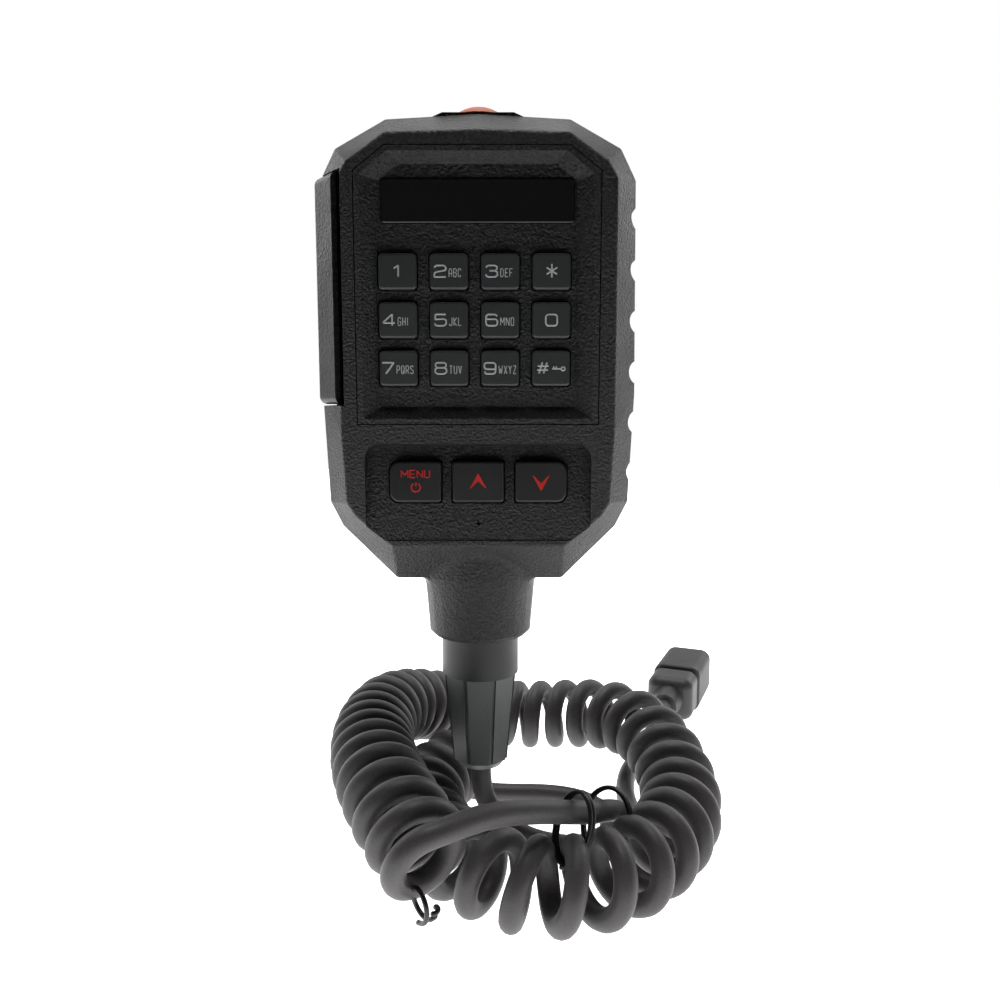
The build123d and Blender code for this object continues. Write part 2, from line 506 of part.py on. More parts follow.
with BuildPart() as top_button:
    with BuildSketch(facing(PARTING_Y)):
        with BuildLine():
            Line((0, 23.6), (2.0, 23.6))
            Polyline((2.0, 23.6), (2.0, 30.2), (BUTTON_RADIUS + BUTTON_FLANGE, 30.2), (BUTTON_RADIUS + BUTTON_FLANGE, 31.2),
                     (BUTTON_RADIUS, 31.2),
                     (BUTTON_RADIUS, BUTTON_TOP_Z - BUTTON_DOME))
            ThreePointArc((BUTTON_RADIUS, BUTTON_TOP_Z - BUTTON_DOME),
                          (BUTTON_RADIUS / 2, dome_centre_z + math.sqrt(dome_radius**2 - BUTTON_RADIUS**2 / 4)),
                          (0, BUTTON_TOP_Z))
            Line((0, BUTTON_TOP_Z), (0, 23.6))
        make_face()
    revolve(axis=NECK_AXIS)

# ---- hang-up stud and fasteners ----

with BuildPart() as hang_up_stud:
    with BuildSketch(Plane.XY):
        Polygon((0, STUD_FACE_Y), (STUD_HEAD_RADIUS - STUD_CHAMFER, STUD_FACE_Y),
                (STUD_HEAD_RADIUS, STUD_FACE_Y - STUD_CHAMFER), (STUD_HEAD_RADIUS, STUD_SHOULDER_Y + 0.4),
                (STUD_HEAD_RADIUS - 0.4, STUD_SHOULDER_Y), (STUD_NECK_RADIUS, STUD_SHOULDER_Y),
                (STUD_NECK_RADIUS, REAR_Y), (0, REAR_Y), align=None)
    revolve(axis=Axis.Y)
    rod(0, 0, STUD_SCREW_RADIUS, (REAR_Y, -1.6), Mode.SUBTRACT)


def pan_screw(x, z, head_y, shank_radius, length, head_radius, drive_front=False):
    """A pan-head screw along Y, its head behind head_y, or before it when driven from the front."""
    way = -1 if drive_front else 1
    head = sorted((head_y, head_y + way * 1.7))
    rod(x, z, head_radius, head)
    rod(x, z, shank_radius, sorted((head_y, head_y - way * length)))
    slot = sorted((head_y + way * 0.8, head_y + way * 1.8))
    for wide, high in ((0.4, head_radius * 0.6), (head_radius * 0.6, 0.4)):
        block((x - wide, x + wide), slot, (z - high, z + high), Mode.SUBTRACT)


with BuildPart() as stud_screw:
    pan_screw(0, 0, REAR_Y - WALL - 1.0, STUD_SCREW_RADIUS, 5.6, 2.8, drive_front=True)

with BuildPart() as case_screws:
    for x, z in CASE_SCREWS:
        pan_screw(x, z, REAR_Y - 2.4, SCREW_RADIUS, PARTING_Y * -1 + REAR_Y - 2.4 + 6.5, SCREW_HEAD_RADIUS)

with BuildPart() as board_screws:
    for x, z in PANEL_POSTS + SHELL_POSTS:
        pan_screw(x, z, BOARD_REAR_Y, BOARD_SCREW_RADIUS, 4.6, 1.9)

# ---- neck: collar, boot, clamp and the lead inside ----

with BuildPart() as boot_collar:
    with BuildSketch(facing(PARTING_Y)):
        Polygon((WIRE / 2, FLANGE_TOP_Z - 0.1), (FLANGE_RADIUS - 0.1, FLANGE_TOP_Z - 0.1),
                (FLANGE_RADIUS - 0.1, FLANGE_LOW_Z + 0.1), (COLLAR_RADIUS, FLANGE_LOW_Z + 0.1),
                (COLLAR_RADIUS, COLLAR_Z), (SPIGOT_RADIUS, COLLAR_Z), (SPIGOT_RADIUS, SPIGOT_TOP_Z),
                (WIRE / 2, SPIGOT_TOP_Z), align=None)
    revolve(axis=NECK_AXIS)

with BuildPart() as cord_boot:
    with BuildSketch(Plane.XY.offset(COLLAR_Z)):
        with Locations((0, PARTING_Y)):
            RegularPolygon(COLLAR_RADIUS, BOOT_FLUTES, rotation=BOOT_TURN)
    with BuildSketch(Plane.XY.offset(BOOT_Z + 2)):
        with Locations((0, PARTING_Y)):
            RegularPolygon(BOOT_END_RADIUS + 0.35, BOOT_FLUTES, rotation=BOOT_TURN)
    loft(ruled=True)
    with BuildSketch(facing(PARTING_Y)):
        Polygon((0, BOOT_Z + 2), (BOOT_END_RADIUS - 0.3, BOOT_Z + 2), (BOOT_END_RADIUS - 1.2, BOOT_Z + 0.6),
                (3.4, BOOT_Z), (0, BOOT_Z), align=None)
    revolve(axis=NECK_AXIS)
    for flute in range(BOOT_FLUTES):
        turn = BOOT_TURN + 360 / BOOT_FLUTES * flute
        for z, radius in ((COLLAR_Z, COLLAR_RADIUS), (BOOT_Z + 2, BOOT_END_RADIUS + 0.35)):
            with BuildSketch(Plane.XY.offset(z)):
                with Locations(Location((radius * math.cos(math.radians(turn)),
                                         PARTING_Y + radius * math.sin(math.radians(turn))), turn)):
                    Rectangle(2 * GROOVE_DEPTH, GROOVE_WIDTH)
        loft(ruled=True, mode=Mode.SUBTRACT)
    with Locations((0, PARTING_Y, (COLLAR_Z + SPIGOT_TOP_Z) / 2)):
        Cylinder(SPIGOT_RADIUS, SPIGOT_TOP_Z - COLLAR_Z)
    with Locations((0, PARTING_Y, BOOT_Z)):
        Cylinder(WIRE / 2, 90, mode=Mode.SUBTRACT)

with BuildPart() as inner_lead:
    with BuildSketch(Plane.XY.offset(BOOT_Z)):
        with Locations((0, PARTING_Y)):
            Circle(WIRE / 2)
    extrude(amount=INNER_LEAD_TOP_Z - BOOT_Z)

with BuildPart() as cord_clamp:
    block((-9, 9), (-22.6, CLAMP_POST_Y), (CLAMP_Z - 2.5, CLAMP_Z + 2.5))
    with Locations((0, PARTING_Y, CLAMP_Z)):
        Cylinder(WIRE / 2, 6, mode=Mode.SUBTRACT)
    for x in CLAMP_POSTS:
        rod(x, CLAMP_Z, BOARD_SCREW_RADIUS + 0.1, (-22.6, CLAMP_POST_Y), Mode.SUBTRACT)

with BuildPart() as clamp_screws:
    for x in CLAMP_POSTS:
        pan_screw(x, CLAMP_Z, -22.6, BOARD_SCREW_RADIUS, 8.0, 1.9, drive_front=True)


def rounded_route(points):
    """Straight runs joined by tangent arcs, each as large as its two runs allow."""
    here = [Vector(*point) for point in points]
    radii = []
    for before, corner, after in zip(here, here[1:], here[2:]):
        arriving, leaving = corner - before, after - corner
        half_turn = math.radians(arriving.get_angle(leaving)) / 2
        radii.append(0.45 * min(arriving.length, leaving.length) / math.tan(half_turn))
    return here, radii


def tube(points, diameter, name):
    """A round cord along a route, its volume and its radii printed beside what they should be."""
    here, radii = rounded_route(points)
    with BuildPart() as cord:
        with BuildLine() as route:
            FilletPolyline(*here, radius=radii)
        path = route.wires()[0]
        with BuildSketch(Plane(origin=path @ 0, z_dir=path % 0)):
            Circle(diameter / 2)
        sweep(path=path)
    expected = math.pi * diameter**2 / 4 * path.length
    print(f"{name}: length {path.length:.1f}, volume {cord.part.volume:.0f} of {expected:.0f},",
          "radii", [round(radius, 1) for radius in radii])
    return cord


def above_floor(route):
    return [(x, y, FLOOR_Z + height) for x, y, height in route]


finish(tube([(0, PARTING_Y, INNER_LEAD_TOP_Z), (0, -19, -45.2), (0, -20.4, -42.9), (0, -20.4, -40.6)],
            2.4, "lead_wires"), "lead_wires")
finish(tube(above_floor(MIC_LEAD), WIRE, "mic_lead"), "mic_lead")
finish(tube(above_floor(CURLY_CORD), CURL, "curly_cord"), "curly_cord")
finish(tube(above_floor(PLUG_LEAD), WIRE, "plug_lead"), "plug_lead")

# ---- plug: boot, body, contacts and cap ----

plug_turn = math.radians(PLUG_AXIS_DEGREES)
plug_axis = (math.sin(plug_turn), math.cos(plug_turn), 0)
plug_left = (-math.cos(plug_turn), math.sin(plug_turn), 0)
plug_plane = Plane(origin=above_floor(PLUG_LEAD)[-1], x_dir=plug_left, z_dir=plug_axis)


def along_plug(distance):
    return plug_plane.offset(distance)


with BuildPart() as plug_boot:
    with BuildSketch(along_plug(BOOT_NECK_END)):
        RectangleRounded(CAP_WIDTH - 0.8, CAP_HEIGHT - 1.4, 3.0)
    extrude(amount=BOOT_BLOCK_END - BOOT_NECK_END)
    block_ends = plug_boot.faces().sort_by(Axis(plug_plane.origin, plug_plane.z_dir))
    fillet(block_ends[-1].edges(), 0.8)
    fillet(block_ends[0].edges(), 2.8)
    with BuildSketch(along_plug(0)):
        Circle(3.6)
    with BuildSketch(along_plug(BOOT_NECK_END + 1)):
        Circle(4.6)
    loft()

with BuildPart() as plug_body:
    with BuildSketch(along_plug(BOOT_BLOCK_END)):
        Rectangle(PLUG_BODY_WIDTH, PLUG_BODY_HEIGHT)
    extrude(amount=PLUG_BODY_LENGTH)
    # release tongue, rising towards the boot
    with BuildSketch(along_plug(BOOT_BLOCK_END + 3)):
        with Locations((0, PLUG_BODY_HEIGHT / 2 + 1.1)):
            Rectangle(4.0, 1.0)
    with BuildSketch(along_plug(BOOT_BLOCK_END + PLUG_BODY_LENGTH - 1)):
        with Locations((0, PLUG_BODY_HEIGHT / 2 + 0.1)):
            Rectangle(6.0, 1.0)
    loft(ruled=True)
    with BuildSketch(along_plug(BOOT_BLOCK_END + PLUG_BODY_LENGTH - 7)):
        with Locations((0, -PLUG_BODY_HEIGHT / 2 + 1.0)):
            with GridLocations(PLUG_CONTACT_PITCH, 1, PLUG_CONTACTS, 1):
                Rectangle(0.5, 2.2)
    extrude(amount=8, mode=Mode.SUBTRACT)

with BuildPart() as plug_contacts:
    with BuildSketch(along_plug(BOOT_BLOCK_END + PLUG_BODY_LENGTH - 7)):
        with Locations((0, -PLUG_BODY_HEIGHT / 2 + 1.3)):
            with GridLocations(PLUG_CONTACT_PITCH, 1, PLUG_CONTACTS, 1):
                Rectangle(0.4, 1.5)
    extrude(amount=6)

with BuildPart() as plug_cap:
    with BuildSketch(along_plug(CAP_START)):
        with Locations((0, CAP_HEIGHT / 2 - PLUG_HEIGHT)):
            RectangleRounded(CAP_WIDTH, CAP_HEIGHT, 3.2)
    extrude(amount=CAP_END - CAP_START)
    ends = plug_cap.faces().sort_by(Axis(plug_plane.origin, plug_plane.z_dir))
    fillet(ends[-1].edges(), 3.0)
    fillet(ends[0].edges(), 0.9)
    with BuildSketch(along_plug(CAP_START)):
        with Locations((0, 0.45)):
            RectangleRounded(PLUG_BODY_WIDTH + 0.8, PLUG_BODY_HEIGHT + 2.9, 1.0)
    extrude(amount=CAP_END - CAP_START - 2.0, mode=Mode.SUBTRACT)

for number, run in enumerate(TIE_RUNS, start=1):
    run_start, run_end = (Vector(*point) for point in above_floor(PLUG_LEAD)[run:run + 2])
    with BuildPart() as cord_tie:
        with Locations(Plane(origin=(run_start + run_end) / 2, z_dir=run_end - run_start)):
            Torus(WIRE / 2 + TIE_WIRE_RADIUS + 0.1, TIE_WIRE_RADIUS)
    finish(cord_tie, f"cord_tie_{number}")

for name, piece in (("front_shell", front_shell), ("rear_shell", rear_shell),
                    ("keypad_bezel", keypad_bezel), ("name_plate", name_plate),
                    ("circuit_board", circuit_board), ("controller_chip", controller_chip),
                    ("board_parts", board_parts), ("cable_connector", cable_connector),
                    ("cable_header", cable_header), ("ptt_switch", ptt_switch),
                    ("top_switch", top_switch), ("mic_capsule", mic_capsule),
                    ("mic_sleeve", mic_sleeve), ("ptt_lever", ptt_lever), ("ptt_pin", ptt_pin),
                    ("top_button", top_button), ("hang_up_stud", hang_up_stud),
                    ("stud_screw", stud_screw), ("case_screws", case_screws),
                    ("board_screws", board_screws), ("boot_collar", boot_collar),
                    ("cord_boot", cord_boot), ("inner_lead", inner_lead), ("cord_clamp", cord_clamp),
                    ("clamp_screws", clamp_screws), ("plug_boot", plug_boot), ("plug_body", plug_body),
                    ("plug_contacts", plug_contacts), ("plug_cap", plug_cap)):
    finish(piece, name)
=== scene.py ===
"""Looks of a radio hand microphone with its curly cord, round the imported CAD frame, in metres."""
import json
import math

import bpy
import numpy as np
from mathutils import Matrix, Vector


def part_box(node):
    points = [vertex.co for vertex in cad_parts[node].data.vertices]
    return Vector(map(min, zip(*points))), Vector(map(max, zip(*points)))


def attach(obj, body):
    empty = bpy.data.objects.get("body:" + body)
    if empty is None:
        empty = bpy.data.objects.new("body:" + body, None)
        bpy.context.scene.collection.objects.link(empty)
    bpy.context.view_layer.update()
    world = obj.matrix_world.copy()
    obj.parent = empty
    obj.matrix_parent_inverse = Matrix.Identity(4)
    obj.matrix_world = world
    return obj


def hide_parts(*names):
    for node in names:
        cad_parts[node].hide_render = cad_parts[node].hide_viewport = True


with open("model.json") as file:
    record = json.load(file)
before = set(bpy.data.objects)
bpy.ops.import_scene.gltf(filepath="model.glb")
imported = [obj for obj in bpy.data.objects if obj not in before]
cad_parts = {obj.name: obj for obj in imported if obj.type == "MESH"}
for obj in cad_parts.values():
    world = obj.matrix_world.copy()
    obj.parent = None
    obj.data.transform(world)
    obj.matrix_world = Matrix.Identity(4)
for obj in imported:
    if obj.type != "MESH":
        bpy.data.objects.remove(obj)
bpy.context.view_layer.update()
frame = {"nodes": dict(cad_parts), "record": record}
NODES = frame["nodes"]
MM = 0.001
FLOOR_Z = -0.1195

# ---------------------------------------------------------------- camera and light

CAMERA_AT = (0.0043, -0.196, -0.0208)
CAMERA_PITCH = 7


def add_camera():
    """A close camera in front of the case, tilted down."""
    data = bpy.data.cameras.new("camera")
    data.lens, data.sensor_width = 30, 36
    data.clip_start, data.clip_end = 0.01, 50
    camera = bpy.data.objects.new("camera", data)
    camera.location = CAMERA_AT
    camera.rotation_euler = (math.radians(90 - CAMERA_PITCH), 0, 0)
    bpy.context.scene.collection.objects.link(camera)
    bpy.context.scene.camera = camera


def area_light(name, place, target, size, watts):
    data = bpy.data.lights.new(name, "AREA")
    data.shape, data.size, data.energy = "DISK", size, watts
    light = bpy.data.objects.new(name, data)
    light.location = place
    aim = Vector(target) - Vector(place)
    light.rotation_euler = aim.to_track_quat("-Z", "Y").to_euler()
    bpy.context.scene.collection.objects.link(light)


def add_world():
    """White to the camera. To everything else, dark towards the camera's side and light behind the object."""
    world = bpy.data.worlds.new("studio")
    world.use_nodes = True
    bpy.context.scene.world = world
    tree = world.node_tree
    tree.nodes.clear()
    place = tree.nodes.new("ShaderNodeTexCoord")
    split = tree.nodes.new("ShaderNodeSeparateXYZ")
    tree.links.new(place.outputs["Generated"], split.inputs[0])
    depth = tree.nodes.new("ShaderNodeMapRange")
    depth.interpolation_type = "SMOOTHSTEP"
    for name, value in (("From Min", -0.10), ("From Max", 0.70), ("To Min", 0.035), ("To Max", 0.7)):
        depth.inputs[name].default_value = value
    tree.links.new(split.outputs["Y"], depth.inputs["Value"])
    lit = tree.nodes.new("ShaderNodeBackground")
    tree.links.new(depth.outputs[0], lit.inputs["Strength"])
    seen = tree.nodes.new("ShaderNodeBackground")
    seen.inputs["Color"].default_value = (1, 1, 1, 1)
    seen.inputs["Strength"].default_value = 1.0
    ray = tree.nodes.new("ShaderNodeLightPath")
    mix = tree.nodes.new("ShaderNodeMixShader")
    tree.links.new(ray.outputs["Is Camera Ray"], mix.inputs[0])
    tree.links.new(lit.outputs[0], mix.inputs[1])
    tree.links.new(seen.outputs[0], mix.inputs[2])
    out = tree.nodes.new("ShaderNodeOutputWorld")
    tree.links.new(mix.outputs[0], out.inputs[0])


TABLE_CENTRE_Y, TABLE_RADIUS, TABLE_SIDES = 0.40, 0.60, 96
TABLE_GLOW = 1.6


def add_light_table():
    """A round white table that glows, with a rim too white to tell from the white background."""
    data = bpy.data.meshes.new("floor")
    angles = [math.tau * n / TABLE_SIDES for n in range(TABLE_SIDES)]
    rim = [(TABLE_RADIUS * math.sin(angle), TABLE_CENTRE_Y + TABLE_RADIUS * math.cos(angle), FLOOR_Z)
           for angle in angles]
    data.from_pydata(rim, [], [tuple(reversed(range(TABLE_SIDES)))])
    floor = bpy.data.objects.new("floor", data)
    bpy.context.scene.collection.objects.link(floor)
    paper, _, shader = principled("floor_paper", (0.88, 0.88, 0.88), 0.9)
    shader.inputs["Emission Color"].default_value = (1, 1, 1, 1)
    shader.inputs["Emission Strength"].default_value = TABLE_GLOW
    data.materials.append(paper)


def add_studio():
    """Soft lights behind and above, so that the front stays dark and the bevels that face away are lit."""
    add_world()
    area_light("softbox_back", (0.0, 0.75, 0.60), (0, 0.1, -0.1), 0.8, 1.5)
    area_light("softbox_top", (0.0, 0.06, 0.85), (0, 0, 0), 0.4, 4)
    area_light("softbox_left", (-0.60, 0.55, 0.30), (0, 0, -0.05), 0.5, 1.5)
    area_light("softbox_right", (0.60, 0.55, 0.30), (0, 0, -0.05), 0.5, 1.5)
    add_light_table()
    bpy.context.scene.view_settings.view_transform = "Standard"


# ---------------------------------------------------------------- materials


def principled(name, colour, roughness, metallic=0.0):
    """A new material, with its node tree and shader."""
    made = bpy.data.materials.new(name)
    made.use_nodes = True
    tree = made.node_tree
    shader = tree.nodes["Principled BSDF"]
    shader.inputs["Base Color"].default_value = (*colour, 1)
    shader.inputs["Roughness"].default_value = roughness
    shader.inputs["Metallic"].default_value = metallic
    return made, tree, shader


def noise(tree, scale, detail=2.0, roughness=0.5):
    """A noise texture in metres: its features are about 1 / scale across."""
    place = tree.nodes.new("ShaderNodeTexCoord")
    made = tree.nodes.new("ShaderNodeTexNoise")
    made.inputs["Scale"].default_value = scale
    made.inputs["Detail"].default_value = detail
    made.inputs["Roughness"].default_value = roughness
    tree.links.new(place.outputs["Object"], made.inputs["Vector"])
    return made


def spread(tree, source, low, high, from_low=0.3, from_high=0.7):
    """source's values from from_low to from_high stretched over low to high."""
    made = tree.nodes.new("ShaderNodeMapRange")
    for name, value in (("From Min", from_low), ("From Max", from_high), ("To Min", low), ("To Max", high)):
        made.inputs[name].default_value = value
    tree.links.new(source, made.inputs["Value"])
    return made.outputs[0]


def moulded(name, colour, roughness, grain_mm, depth_mm, metallic=0.0, speckle=0.25, coat=0.0, sheen=0.0,
            painted_glint=0.0):
    """A moulded or plated surface: grain in its height, drift in its gloss, mottle in its colour, and a
    painted highlight (glint) added to the colour of its light specks.
    """
    made, tree, shader = principled(name, colour, roughness, metallic)
    shader.inputs["Coat Weight"].default_value = coat
    shader.inputs["Coat Roughness"].default_value = 0.08
    shader.inputs["Sheen Weight"].default_value = sheen
    grain = noise(tree, 1 / (grain_mm * MM), 3.0, 0.6)
    bump = tree.nodes.new("ShaderNodeBump")
    bump.inputs["Distance"].default_value = depth_mm * MM
    bump.inputs["Strength"].default_value = 1.0
    tree.links.new(grain.outputs[0], bump.inputs["Height"])
    tree.links.new(bump.outputs[0], shader.inputs["Normal"])
    drift = noise(tree, 90, 3.0)
    tree.links.new(spread(tree, drift.outputs[0], roughness - 0.05, roughness + 0.05),
                   shader.inputs["Roughness"])
    # Random mottle in the colour; the light specks also get the glint, a painted highlight added to their
    # colour.
    mottle_and_painted_glint = tree.nodes.new("ShaderNodeMix")
    mottle_and_painted_glint.data_type = "RGBA"
    mottle_and_painted_glint.inputs["A"].default_value = (*[c * (1 - speckle) for c in colour], 1)
    mottle_and_painted_glint.inputs["B"].default_value = (*[c * (1 + speckle) + painted_glint for c in colour], 1)
    tree.links.new(spread(tree, grain.outputs[0], 0, 1, 0.35, 0.68), mottle_and_painted_glint.inputs["Factor"])
    tree.links.new(mottle_and_painted_glint.outputs["Result"], shader.inputs["Base Color"])
    return made


def clear_plastic(name):
    """Clear moulded plastic with a faint ripple."""
    made, tree, shader = principled(name, (0.9, 0.93, 0.95), 0.12)
    shader.inputs["Transmission Weight"].default_value = 0.9
    shader.inputs["IOR"].default_value = 1.49
    ripple = noise(tree, 400, 1.0)
    bump = tree.nodes.new("ShaderNodeBump")
    bump.inputs["Distance"].default_value = 0.00002
    tree.links.new(ripple.outputs[0], bump.inputs["Height"])
    tree.links.new(bump.outputs[0], shader.inputs["Normal"])
    return made


MATERIALS = {
    # The case's and the lever's light grain specks carry a painted highlight (glint) in their colour.
    "case_black": moulded("case_grained_plastic", (0.0080, 0.0083, 0.0088), 0.42, 0.55, 0.50, speckle=0.5,
                          painted_glint=0.014),
    "lever_black": moulded("lever_satin_plastic", (0.011, 0.011, 0.0118), 0.42, 0.62, 0.20, speckle=0.4,
                           painted_glint=0.012),
    "key_grey": moulded("key_satin_plastic", (0.040, 0.044, 0.0445), 0.45, 0.22, 0.008, speckle=0.12),
    "function_key_black": moulded("function_key_plastic", (0.014, 0.0145, 0.0155), 0.42, 0.22, 0.008,
                                  speckle=0.12),
    "plate_gloss": moulded("name_plate_gloss", (0.0085, 0.0085, 0.009), 0.12, 1.5, 0.004, speckle=0.05,
                            coat=0.6),
    "button_orange": moulded("button_orange_plastic", (0.90, 0.16, 0.015), 0.5, 0.3, 0.01, speckle=0.06),
    "mat_rubber": moulded("silicone_mat", (0.20, 0.21, 0.22), 0.6, 0.3, 0.02, speckle=0.08),
    "contact_steel": moulded("contact_steel", (0.62, 0.62, 0.61), 0.28, 0.2, 0.004, 1.0, 0.05),
    "contact_gold": moulded("contact_gold", (0.85, 0.62, 0.24), 0.2, 0.2, 0.003, 1.0, 0.05),
    "board_green": moulded("board_solder_mask", (0.012, 0.10, 0.035), 0.35, 0.6, 0.01, speckle=0.2),
    "chip_black": moulded("moulded_epoxy", (0.02, 0.02, 0.021), 0.6, 0.15, 0.01, speckle=0.2),
    "connector_white": moulded("connector_nylon", (0.66, 0.64, 0.57), 0.45, 0.4, 0.01, speckle=0.05),
    "screw_steel": moulded("zinc_plated_steel", (0.55, 0.55, 0.56), 0.32, 0.3, 0.006, 1.0, 0.08),
    "screw_black": moulded("black_zinc_steel", (0.03, 0.03, 0.032), 0.35, 0.3, 0.008, 0.8, 0.15),
    "stud_nickel": moulded("satin_nickel", (0.55, 0.54, 0.52), 0.26, 0.25, 0.005, 1.0, 0.05),
    "clamp_steel": moulded("clamp_zinc_steel", (0.5, 0.5, 0.5), 0.38, 0.3, 0.008, 1.0, 0.08),
    "collar_black": moulded("collar_smooth_plastic", (0.013, 0.0135, 0.014), 0.4, 0.3, 0.006, speckle=0.1),
    "boot_grey": moulded("boot_satin_rubber", (0.115, 0.123, 0.123), 0.40, 0.25, 0.006, speckle=0.12),
    "cord_rubber": moulded("cord_matt_rubber", (0.055, 0.050, 0.051), 0.52, 0.35, 0.012, speckle=0.15,
                           sheen=0.06),
    "wire_insulation": moulded("wire_insulation", (0.12, 0.02, 0.02), 0.45, 0.3, 0.005, speckle=0.1),
    "tie_wire": moulded("tie_coated_wire", (0.010, 0.010, 0.011), 0.35, 0.25, 0.008, speckle=0.1),
    "plug_boot_rubber": moulded("plug_boot_rubber", (0.038, 0.037, 0.038), 0.5, 0.3, 0.012, speckle=0.12),
    "plug_clear": clear_plastic("plug_clear_plastic"),
    "cap_rubber": moulded("cap_matt_rubber", (0.040, 0.039, 0.040), 0.55, 0.4, 0.02, speckle=0.15),
}


def finish_cad_nodes():
    """Every CAD node takes the full material of its record slot."""
    slots = {part["node"]: part["material_slot"] for part in frame["record"]["subparts"]}
    for name, node in NODES.items():
        node.data.materials.clear()
        node.data.materials.append(MATERIALS[slots[name]])


def finish_piece(piece, slot, body="case"):
    """A new piece takes its slot's material and rides on a body."""
    piece.data.materials.clear()
    piece.data.materials.append(MATERIALS[slot])
    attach(piece, body)
    return piece


# ---------------------------------------------------------------- cord

WIRE = 0.0045
COIL_RADIUS = 0.00675
POINTS_A_TURN = 14

# Each route is (x, y, height above the floor), in millimetres as in the CAD source.
MIC_LEAD = [(0, -19, 18), (0, -19, 12.8), (2.0, -19.8, 7.8), (6.2, -21.8, 4.2), (12.2, -24.4, 2.6),
            (20.0, -26.4, 2.25), (26.8, -23.8, 2.25), (29.8, -17.2, 2.25), (28.6, -9.6, 2.25),
            (23.2, -3.8, 2.25), (15.6, -1.6, 2.25), (8.0, -1.6, 2.25), (1.2, -1.0, 2.25), (-4.9, 1.8, 2.25)]
CURLY_CORD = [(-5.5, 2, 9), (-10.5, -6, 9), (-12.8, -15.5, 9), (-12, -26, 9), (-8.6, -35, 9),
              (-3.6, -42.6, 9), (3.4, -48.6, 9), (12.2, -52.2, 9), (22, -50.8, 9), (31.5, -44.6, 9),
              (39.5, -34, 9), (44.4, -22.5, 9), (45.6, -11, 10.5), (44.2, 0, 13), (40, 9.5, 15.4),
              (32.5, 17, 15.4), (23, 22, 13.6), (12.5, 24.6, 12.2), (3, 25.3, 12.4), (-6.2, 22, 14.8),
              (-13.8, 15.5, 18.6), (-19.6, 6.6, 22), (-23, -3.4, 24), (-24.2, -14, 24.2),
              (-23.2, -25, 24.2), (-20.6, -36, 24.2), (-16.6, -46.4, 23.4), (-12, -54.6, 21.4),
              (-7.2, -61.6, 19)]
PLUG_LEAD = [(-6.2, -61.8, 25.6), (2.6, -56.4, 25.6), (12.4, -50, 22.8), (21.6, -42.4, 18.4),
             (27.6, -32.6, 14.2), (32.2, -22.4, 7.6), (34.8, -12, 3.2), (34.8, -1.8, 2.25),
             (36.8, 8.4, 2.25), (40.6, 17.4, 2.25), (45.2, 25.0, 3.2), (48.6, 32.0, 6.0),
             (51.0, 37.8, 7.25), (53.34, 43.32, 7.25)]


def above_floor(x, y, height):
    """The place in metres of a point given in millimetres, with its height above the floor."""
    return Vector((x * MM, y * MM, FLOOR_Z + height * MM))


def in_metres(route):
    return [above_floor(*point) for point in route]


def spline_object(name, points, radius=0.0, resolution=3, sides=5):
    """A curve of one smooth open spline with those control points."""
    data = bpy.data.curves.new(name, "CURVE")
    data.dimensions = "3D"
    data.resolution_u = resolution
    data.bevel_depth = radius
    data.bevel_resolution = sides
    data.use_fill_caps = True
    spline = data.splines.new("NURBS")
    spline.points.add(len(points) - 1)
    for point, place in zip(spline.points, points):
        point.co = (*place, 1)
    spline.order_u = 3
    spline.use_endpoint_u = True
    spline.use_smooth = True
    made = bpy.data.objects.new(name, data)
    bpy.context.scene.collection.objects.link(made)
    return made


def line_of(points):
    """Close points along the smooth spline of those control points."""
    guide = spline_object("guide", points, resolution=24)
    mesh = bpy.data.meshes.new_from_object(guide)
    line = [vertex.co.copy() for vertex in mesh.vertices]
    bpy.data.objects.remove(guide)
    bpy.data.meshes.remove(mesh)
    return line


# Turn spacing along the curly cord: share of its length, and millimetres from turn to turn.
TURN_SPACING = [(0.0, 7.6), (0.30, 7.8), (0.55, 7.0), (0.66, 6.6), (0.74, 5.7), (0.92, 5.4), (1.0, 6.4)]


def helix_points():
    """The curly cord's turns: a left-handed helix that starts below its centreline and ends above it."""
    line = line_of(in_metres(CURLY_CORD))
    steps = np.array([0.0] + [(b - a).length for a, b in zip(line, line[1:])])
    along = np.cumsum(steps)
    share = along / along[-1]
    spacing = np.interp(share, *zip(*TURN_SPACING)) * MM
    turned = np.concatenate([[0.0], np.cumsum(steps[1:] / ((spacing[1:] + spacing[:-1]) / 2))])
    turns = round(turned[-1]) + 0.5
    turned *= turns / turned[-1]
    shrink = math.cos(math.pi / POINTS_A_TURN)
    places = np.array(line)
    points = []
    for turn in np.linspace(0, turns, round(turns * POINTS_A_TURN) + 1):
        at = Vector([np.interp(turn, turned, places[:, axis]) for axis in range(3)])
        ahead = Vector([np.interp(turn + 0.3, turned, places[:, axis]) for axis in range(3)])
        behind = Vector([np.interp(turn - 0.3, turned, places[:, axis]) for axis in range(3)])
        along_cord = (ahead - behind).normalized()
        up = (Vector((0, 0, 1)) - along_cord * along_cord.z).normalized()
        side = along_cord.cross(up)
        angle = math.pi - turn * math.tau
        points.append(at + (up * math.cos(angle) + side * math.sin(angle)) * COIL_RADIUS / shrink)
    return points


def add_cord():
    """The whole cord as one piece: the lead from the boot, the coil's turns and the lead to the plug."""
    points = in_metres(MIC_LEAD)[:-1] + helix_points() + in_metres(PLUG_LEAD)[1:]
    cord = spline_object("cord", points, WIRE / 2)
    finish_piece(cord, "cord_rubber")
    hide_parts("mic_lead", "curly_cord", "plug_lead")


# ---------------------------------------------------------------- ties on the cord

TIE_RADIUS = 0.00045
TIE_POINTS_A_TURN = 12
TIE_DRIFT = 1.7 * MM
TAIL_POINTS = 9
TAIL_TWIST = 1.3
TAIL_RADIUS = 0.4 * MM


